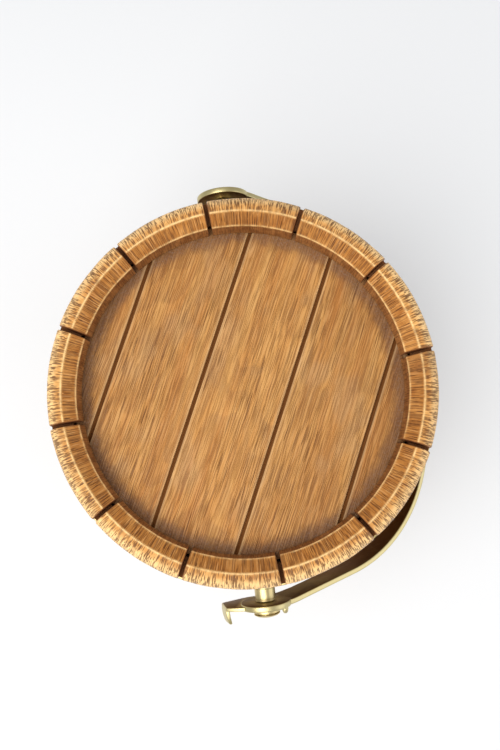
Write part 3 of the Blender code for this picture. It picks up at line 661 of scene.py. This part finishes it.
# ---- head boards ----------------------------------------------------------------------------
def build_board(end, index):
    rng = np.random.default_rng(40 + index + (10 if end == "bottom" else 0))
    face, into = (TOP - HEAD_H, -1) if end == "top" else (HEAD_H - TOP, 1)
    edges = (-1e3,) + BOARD_JOINTS + (1e3,)
    low, high = edges[index], edges[index + 1]
    section = []  # (u, depth, rim radius, groove mask, highlight-and-wear mask)

    def limit(radius):
        return radius - 0.15

    def side(bound, sign):
        """From the face down to the back, on one side."""
        if abs(bound) > 1e2:
            u1, u2 = limit(HEAD_R), limit(HEAD_BACK_R)
            return [(sign * u1, 0.4, HEAD_R, 0, 0), (sign * u1, TONGUE_T, HEAD_R, 0, 0), (sign * u2, TONGUE_T, HEAD_BACK_R, 0, 0), (sign * u2, HEAD_T, HEAD_BACK_R, 0, 0)]
        b = bound - sign * 0.0
        return [
            (b - sign * 1.50, 0.00, HEAD_R, 0.0, 0.7),
            (b - sign * 1.18, 0.06, HEAD_R, 0.10, 1.0),
            (b - sign * 0.98, 0.28, HEAD_R, 0.80, 0.3),
            (b - sign * 0.80, 0.75, HEAD_R, 1.0, 0),
            (b - sign * 0.40, 1.25, HEAD_R, 1.0, 0),
            (b - sign * SEAM / 2, 1.35, HEAD_R, 1.0, 0),
            (b - sign * SEAM / 2, TONGUE_T, HEAD_R, 1.0, 0),
            (b - sign * (GAP / 2 + 0.35), TONGUE_T + 0.05, HEAD_BACK_R, 0, 0),
            (b - sign * (GAP / 2 + 0.35), HEAD_T, HEAD_BACK_R, 0, 0),
        ]

    left, right = side(low, -1), side(high, 1)
    a, b = left[0][0], right[0][0]
    a, b = a + 1.0, b - 1.0
    across = [(u, 0.0, HEAD_R, 0, 0) for u in np.linspace(a, b, max(8, int((b - a) / 1.6)))]
    bottom = [(u, HEAD_T, HEAD_BACK_R, 0, 0) for u in np.linspace(right[-1][0], left[-1][0], 6)[1:-1]]
    section = list(reversed(left)) + across + right + bottom
    # from the back on the left, up, across the face, down on the right and back under
    steps = 60
    ts = np.sin(np.linspace(-1, 1, steps) * math.pi / 2 * 0.92) / math.sin(math.pi / 2 * 0.92)
    turn = math.radians(-BOARD_BEARING)
    cup = rng.uniform(-0.10, 0.10)
    tilt = rng.uniform(-0.10, 0.10)
    mid, wide = (a + b) / 2, max(1.0, (b - a) / 2)
    points, grain, groove, highlight_and_wear, edge = [], [], [], [], []
    for u, d, rim, g, highlight_wear in section:
        reach = math.sqrt(max(rim**2 - u**2, 1.0))
        for t in ts:
            v = t * reach
            dd = d
            if d < 0.7:
                wave = 0.10 * noise.noise(Vector((u * 0.06, v * 0.025, index * 5.0 + (50 if end == "bottom" else 0)))) + 0.05 * noise.noise(Vector((u * 0.35, v * 0.06, index * 9.0)))
                dd = d + 0.12 + cup * (((u - mid) / wide) ** 2 - 0.5) + tilt * ((u - mid) / wide) * 0.5 + wave
                dd = max(dd, 0.0)
                if math.hypot(u, v) > R_CHIME - 0.2:
                    dd = max(dd, 0.02)
            x, y = u * math.cos(turn) - v * math.sin(turn), u * math.sin(turn) + v * math.cos(turn)
            points.append((x, y, face + into * dd))
            grain.append((u + 83.0 * (index + 1) + (500 if end == "bottom" else 0), v + 170.0 * index, d))
            groove.append(g)
            highlight_and_wear.append(highlight_wear)
            edge.append(R_CHIME - math.hypot(u, v))
    n, m = len(section), len(ts)
    ids = np.arange(n * m).reshape(n, m)
    nxt = np.roll(ids, -1, 0)
    faces = [(int(ids[i, j]), int(ids[i, j + 1]), int(nxt[i, j + 1]), int(nxt[i, j])) for i in range(n) for j in range(m - 1)]
    for column in (0, m - 1):
        loop = [int(x) for x in ids[:, column]]
        flat = [Vector((section[i][0], section[i][1], 0)) for i in range(n)]
        faces += [tuple(loop[i] for i in tri) for tri in tessellate_polygon([flat])]
    return make(
        f"oak_{end}_board_{index + 1}", points, faces, OAK_HEAD, "barrel", (f"{end}_head_board_{index + 1}",),
        # the two outer boards, beside the chime wall, get a darker tone: painted shade
        {"grain": grain, "kerf": groove, "line": highlight_and_wear, "edge": edge, "tone": np.full(len(points), rng.uniform(0.38, 0.62) - (0.26 if index in (0, 4) else 0.0))},
    )


boards = [build_board(end, i) for end in ("top", "bottom") for i in range(5)]

# ---- hoops and rivets -----------------------------------------------------------------------
HOOPS = (("bottom_head", 26.0, 44.0, 250.0), ("bottom_bilge", 84.0, 102.0, 38.0), ("top_bilge", 173.0, 191.0, 250.0), ("top_head", 231.0, 249.0, 38.0))
HOOP_T, HOOP_GAP, LAP = 0.9, 0.5, 15.0


def build_hoop(name, low, high, lap):
    count = 240
    angles = [(lap + LAP + 0.3 + (345 - 0.6) * k / count, 0.0) for k in range(count + 1)]
    angles += [(lap + LAP * k / 12, HOOP_T) for k in range(13)]
    section = rounded([(0, 0), (0, 1), (1, 1), (1, 0), (0, 0)], (0,) * 5)
    points, rows = [], []
    rr = 0.3
    for angle, extra in angles:
        row = []
        wob = 0.08 * noise.noise(Vector((math.cos(math.radians(angle)) * 3, math.sin(math.radians(angle)) * 3, low * 0.1)))
        shape = []
        for share in np.linspace(0, 1, 5):
            shape.append((HOOP_GAP, low + (high - low) * share))
        t = HOOP_GAP + HOOP_T + extra
        shape += [(t - rr, high), (t - rr * 0.3, high - rr * 0.3), (t, high - rr)]
        for share in (0.75, 0.5, 0.25):
            shape.append((t + 0.02, low + (high - low) * share))
        shape += [(t, low + rr), (t - rr * 0.3, low + rr * 0.3), (t - rr, low)]
        for off, z in shape:
            row.append(len(points))
            points.append(bearing(angle, outside(z) + off + (wob if off > HOOP_GAP else 0), z - TOP))
        rows.append(row)
    n, q = len(rows), len(rows[0])
    faces = [(rows[k][i], rows[k][(i + 1) % q], rows[(k + 1) % n][(i + 1) % q], rows[(k + 1) % n][i]) for k in range(n) for i in range(q)]
    return make(f"brass_hoop_{name}", points, faces, BRASS_HOOP, "barrel", (f"hoop_{name}",), smooth=50.0)


for name, low, high, lap in HOOPS:
    build_hoop(name, low, high, lap)
    z = (low + high) / 2
    base = outside(z) + HOOP_GAP + 2 * HOOP_T + 0.12
    for k, share in enumerate((0.25, 0.75)):
        angle = lap + LAP * share
        cap = [(0, 0), (0, 2.25), (0.22, 2.3), (0.55, 2.16), (0.9, 1.75), (1.2, 1.1), (1.33, 0.5), (1.36, 0)]
        points, faces = turned(cap, bearing(angle), bearing(angle, base, z - TOP), 40)
        make(f"brass_rivet_{name}_{k + 1}", points, faces, BRASS, "barrel", (f"rivet_{name}_{k + 1}",), smooth=60.0)

# ---- pivots -----------------------------------------------------------------------------------
for side, sign in (("finger_side", -1), ("plain_side", 1)):
    axis = (0, sign, 0)
    base = STRAP_IN + EYE_T + GAP
    bolt = [(78.5, 0), (78.5, 2.5), (79.0, 3.0), (base, 3.0), (base, 7.2), (base + 0.3, 7.5), (base + 2.0, 7.5), (base + 2.3, 7.2), (base + 2.3, 6.1)]
    bolt += [(base + 2.85, 6.1), (base + 2.9, 6.9), (base + 3.1, 7.25), (base + 3.5, 7.1), (base + 4.1, 6.1), (base + 4.6, 4.6), (base + 4.9, 2.6), (base + 5.0, 0)]
    if sign > 0:  # the plain side's head is a low dome
        bolt = bolt[:4] + [(base, 6.6), (base + 0.35, 7.0), (base + 0.9, 7.0), (base + 1.5, 6.6), (base + 2.1, 5.6), (base + 2.6, 4.0), (base + 2.85, 2.1), (base + 2.9, 0)]
    points, faces = turned(bolt, axis, PIVOT, 64)
    screw = raw(f"brass_pivot_screw_{side}", points, faces)
    cut = bpy.data.meshes.new("slot")
    turn = Matrix.Rotation(math.radians(28 if sign < 0 else -40), 3, "Y")
    corners = [Vector((sx * 9.0, sy, sz * 0.65)) for sx in (-1, 1) for sy in (0.0, 6.0) for sz in (-1, 1)]
    corners = [turn @ c for c in corners]
    corners = [Vector((c.x, sign * (c.y + base + (3.7 if sign < 0 else 1.8)), c.z)) + PIVOT for c in corners]
    slot_faces = [(0, 1, 3, 2), (4, 6, 7, 5), (0, 4, 5, 1), (2, 3, 7, 6), (0, 2, 6, 4), (1, 5, 7, 3)]
    merge(screw, [(raw("slot_" + side, corners, slot_faces), "DIFFERENCE")])
    dress(screw, BRASS, "barrel", (f"pivot_screw_{side}",), 35.0)
    ring = [(102.5, 3.4), (102.5, 5.3), (102.9, 5.7), (107.0, 5.7), (107.15, 5.45), (107.6, 5.45), (107.75, 5.7), (112.6, 5.7), (112.75, 5.4), (113.2, 5.4), (113.35, 5.65), (114.25, 5.65), (114.6, 5.3), (114.6, 3.4)]
    points, faces = turned(ring, axis, PIVOT, 64)
    make(f"brass_bush_{side}", points, faces, BRASS, "barrel", (f"spacer_bush_{side}",), smooth=35.0)
    # the seat of the bush and the bore through the stave
    bore = [(70, 0), (70, 7.1), (86.9, 7.1), (86.9, 3.45), (102.2, 3.45), (102.2, 6.0), (125, 6.0), (125, 0)]
    points, faces = turned(bore, axis, PIVOT, 48)
    merge(stave_at(180 if sign < 0 else 0), [(raw("bore_" + side, points, faces), "DIFFERENCE")])

# ---- bung ---------------------------------------------------------------------------------------
hole = [(80, 0), (80, 8.4), (120, 8.4), (120, 0)]
points, faces = turned(hole, BUNG_AXIS, (0, 0, 0), 64)
merge(stave_at(9.4), [(raw("bung_hole", points, faces), "DIFFERENCE")])
plug = [(90.5, 0), (90.5, 6.9), (90.9, 7.3), (100.0, 7.8), (110.0, 8.0), (110.7, 7.8), (111.1, 7.2), (111.2, 6.4), (111.1, 3.0), (111.05, 0)]
points, faces = turned(plug, BUNG_AXIS, (0, 0, 0), 64)
make("wood_bung", points, faces, BUNG_WOOD, "bung", ("bung",), smooth=40.0)

# ---- swing handle ---------------------------------------------------------------------------------
def handle_point(reach, y, wide):
    c, s = math.cos(HANDLE_REST), math.sin(HANDLE_REST)
    return Vector((reach * c + wide * s, y, -reach * s + wide * c)) + PIVOT


def handle_path():
    """The strap's inner face as (reach, y, heading) for y > 0."""
    splay, bow = math.radians(10.0), math.radians(7.6)
    flat, bend, corner, start = 9.0, 40.0, 86.0, STRAP_IN + 0.15
    x0, y0 = flat + bend * math.sin(splay), start - bend * (1 - math.cos(splay))
    last = math.pi / 2 - bow
    cx, cy = corner * (math.sin(last) - math.sin(splay)), corner * (math.cos(splay) - math.cos(last))
    a11, a12, a21, a22 = math.cos(splay), 1 - math.sin(last), math.sin(splay), math.cos(last)
    b1, b2 = HANDLE_REACH - x0 - cx, y0 - cy
    det = a11 * a22 - a12 * a21
    arm, crown = (b1 * a22 - a12 * b2) / det, (a11 * b2 - a21 * b1) / det
    path = [(0.0, start, 0.0), (4.5, start, 0.0), (flat, start, 0.0)]

    def arc(radius, first, end, steps):
        x, y, _ = path[-1]
        for k in range(1, steps + 1):
            h = first + (end - first) * k / steps
            path.append((x + radius * (math.sin(h) - math.sin(first)), y - radius * (math.cos(first) - math.cos(h)), h))

    arc(bend, 0.0, splay, 6)
    x, y, _ = path[-1]
    for k in range(1, 7):
        path.append((x + arm * math.cos(splay) * k / 6, y - arm * math.sin(splay) * k / 6, splay))
    arc(corner, splay, last, 40)
    arc(crown, last, math.pi / 2, 10)
    return path


def build_handle():
    whole = [(x, y, math.sin(h), math.cos(h)) for x, y, h in handle_path()]
    whole += [(x, -y, nx, -ny) for x, y, nx, ny in reversed(whole[:-1])]
    r = 0.55

    def section(low, high):
        ring = []
        for cx, cy, a0 in ((STRAP_T - r, high - r, 0), (r, high - r, 90), (r, -low + r, 180), (STRAP_T - r, -low + r, 270)):
            for k in range(5):
                a = math.radians(a0 + 90 * k / 4)
                ring.append((cx + r * math.cos(a), cy + r * math.sin(a)))
        return ring

    points, rows = [], []
    for i, (x, y, nx, ny) in enumerate(whole):
        row = []
        share = 1 - min(max((x - 3) / 24, 0), 1)
        spread = STRAP_FLARE["plain_side" if y > 0 else "finger_side"]
        ring = section(*(STRAP_W / 2 + extra * share**2 for extra in spread))
        for off, wide in ring:
            row.append(len(points))
            points.append(handle_point(x + nx * off, y + ny * off, wide))
        rows.append(row)
    q = len(ring)
    faces = [tuple(rows[0]), tuple(reversed(rows[-1]))]
    for a, b in zip(rows, rows[1:]):
        faces += [(a[i], a[(i + 1) % q], b[(i + 1) % q], b[i]) for i in range(q)]
    handle = raw("brass_swing_handle", points, faces)
    tools = []
    for side, sign in (("finger", -1), ("plain", 1)):
        eye = EYE_R + (1.0 if sign > 0 else 0.0)
        disc = [(STRAP_IN, 0), (STRAP_IN, eye - 0.6)]
        disc += [(STRAP_IN + 0.6 - 0.6 * math.cos(a), eye - 0.6 + 0.6 * math.sin(a)) for a in (0.5, 1.0, math.pi / 2)]
        disc += [(STRAP_IN + EYE_T - 0.6 + 0.6 * math.sin(a), eye - 0.6 + 0.6 * math.cos(a)) for a in (0.0, 0.55, 1.05, math.pi / 2)]
        disc += [(STRAP_IN + EYE_T, 0)]
        points, faces = turned(disc, (0, sign, 0), PIVOT, 96)
        tools.append((raw("eye_" + side, points, faces), "UNION"))
    # the tail narrows and turns outwards into a leaning finger
    sections = []
    for left_low, left_high, low, high in (
        (-4.0, -4.0, -19.0, 8.0), (-9.0, -9.0, -18.6, 7.6), (-13.0, -13.0, -17.2, 7.0), (-18.4, -17.6, -14.2, 5.6), (-25.0, -22.1, -10.6, 3.6),
    ):
        near, far = -(STRAP_IN + 0.9), -(STRAP_IN + 3.0)
        sections.append([(left_low, near, low), (left_high, near, high), (left_high, far, high), (left_low, far, low)])
    tools.append((loft("tail", sections, 0.35), "UNION"))
    sections = []
    for out, left_low, left_high, thick, low, high in (
        (1.1, -25.3, -22.3, 2.3, -10.4, 3.4), (3.6, -25.5, -22.5, 2.2, -10.3, 3.2), (6.6, -25.2, -22.2, 2.1, -9.6, 2.8),
        (9.2, -24.4, -21.6, 1.9, -8.2, 1.9), (10.6, -23.5, -21.2, 1.5, -6.6, 0.9),
    ):
        y = -(STRAP_IN + out)
        sections.append([(left_low, y, low), (left_high, y, high), (left_high + thick, y, high), (left_low + thick, y, low)])
    tools.append((loft("claw", sections, 0.4), "UNION"))
    stud = [(STRAP_IN + 0.2, 0), (STRAP_IN + 0.2, 2.0), (STRAP_IN + 8.0, 1.9), (STRAP_IN + 9.4, 1.5), (STRAP_IN + 10.2, 0.9), (STRAP_IN + 10.4, 0)]
    points, faces = turned(stud, (0, -1, 0), PIVOT + Vector((10.4, 0, -9.9)), 32)
    tools.append((raw("stud", points, faces), "UNION"))
    points, faces = turned([(-140, 0), (-140, EYE_HOLE_R), (140, EYE_HOLE_R), (140, 0)], (0, 1, 0), PIVOT, 64)
    tools.append((raw("eye_holes", points, faces), "DIFFERENCE"))
    merge(handle, tools)
    dress(handle, BRASS_HANDLE, "handle", ("swing_handle",), 32.0)
    mesh = handle.data
    values = []
    for v in mesh.vertices:
        p = v.co / MM - PIVOT
        reach = p.x * math.cos(HANDLE_REST) - p.z * math.sin(HANDLE_REST)
        wide = p.x * math.sin(HANDLE_REST) + p.z * math.cos(HANDLE_REST)
        centre = Vector((min(max(reach, 0.0), 57.0), 0.0))
        inward = Vector((centre.x - reach if reach > 57 else 0.0, -p.y)).normalized()
        n = Vector((v.normal.x * math.cos(HANDLE_REST) - v.normal.z * math.sin(HANDLE_REST), v.normal.y))
        values.append(float(smoothstep(n.dot(inward), 0.80, 0.97)))
    layer = mesh.attributes.new("sheltered", "FLOAT", "POINT")
    layer.data.foreach_set("value", values)
    return handle


def loft(name, sections, radius):
    points = [Vector(p) + PIVOT for s in sections for p in s]
    faces = [(0, 1, 2, 3), tuple(range(len(points) - 1, len(points) - 5, -1))]
    for s in range(len(sections) - 1):
        a = 4 * s
        faces += [(a + i, a + (i + 1) % 4, a + 4 + (i + 1) % 4, a + 4 + i) for i in range(4)]
    obj = raw(name, points, faces)
    mod = obj.modifiers.new("round", "BEVEL")
    mod.width, mod.segments, mod.limit_method, mod.angle_limit = radius * MM, 3, "ANGLE", math.radians(35)
    bpy.context.view_layer.update()
    apply_modifiers(obj)
    return obj


build_handle()

# ---- CAD nodes that stay ------------------------------------------------------------------------------
for node, obj in frame["nodes"].items():
    if obj.hide_render:
        continue
    mat, slot = (BEECH, "dowel_wood") if "dowel" in node else (BRASS, "fitting_brass")
    obj.data.materials.clear()
    obj.data.materials.append(mat)

# ---- floor, lights and camera ---------------------------------------------------------------------------
def build_floor():
    s = Shade("pale_floor")
    p = s.object()
    paper = s.noise(p, 900.0, 3.0, 0.6)
    colour = s.ramp(s.noise(p, 1.3, 2.0, 0.5), [(0.3, (0.812, 0.820, 0.830)), (0.7, (0.822, 0.828, 0.836))])
    mat = s.out(base_color=colour, roughness=0.9, normal=s.bump(paper, 0.03, 0.0001), specular_ior_level=0.1)
    half = 3.0
    z = -TOP * MM - 0.0002
    mesh = bpy.data.meshes.new("floor")
    mesh.from_pydata([(-half, -half, z), (half, -half, z), (half, half, z), (-half, half, z)], [], [(0, 1, 2, 3)])
    obj = bpy.data.objects.new("floor", mesh)
    bpy.context.scene.collection.objects.link(obj)
    mesh.materials.append(mat)


build_floor()


def area_light(name, place, target, size, watts, colour=(1, 1, 1)):
    data = bpy.data.lights.new(name, "AREA")
    data.shape, data.size, data.size_y = "RECTANGLE", size[0], size[1]
    data.energy, data.color = watts, colour
    obj = bpy.data.objects.new(name, data)
    obj.location = place
    obj.rotation_euler = (Vector(target) - Vector(place)).to_track_quat("-Z", "Y").to_euler()
    bpy.context.scene.collection.objects.link(obj)


area_light("key", (-0.50, -0.40, 1.15), (-0.05, -0.05, 0.0), (1.1, 1.0), 12.5, (1.0, 0.985, 0.96))
area_light("top", (-0.35, 0.0, 1.5), (0, 0, 0), (1.2, 1.1), 6.5, (0.985, 0.99, 1.0))
area_light("fill", (1.2, -0.3, 0.55), (0, 0, 0.0), (0.9, 0.9), 3.5, (0.97, 0.985, 1.0))

world = bpy.data.worlds.new("studio")
world.use_nodes = True
world.node_tree.nodes["Background"].inputs[0].default_value = (0.97, 0.98, 1.0, 1.0)
world.node_tree.nodes["Background"].inputs[1].default_value = 0.55
bpy.context.scene.world = world
bpy.context.scene.view_settings.view_transform = "Standard"

roll, tilt, focal = math.radians(6.17), math.radians(5.63), 680.0
c, s, ct, st = math.cos(roll), math.sin(roll), math.cos(tilt), math.sin(tilt)
right, up, back = Vector((c, -s, 0)), Vector((s * ct, c * ct, st)), Vector((-s * st, -c * st, ct))
camera_data = bpy.data.cameras.new("camera")
camera_data.sensor_width, camera_data.lens = 36.0, focal / 750 * 36.0
camera = bpy.data.objects.new("camera", camera_data)
turn = Matrix((right, up, back)).transposed()
camera.matrix_world = Matrix.Translation(Vector((0.63, -26.83, TOP + 330.55)) * MM) @ turn.to_4x4()
bpy.context.scene.collection.objects.link(camera)
bpy.context.scene.camera = camera
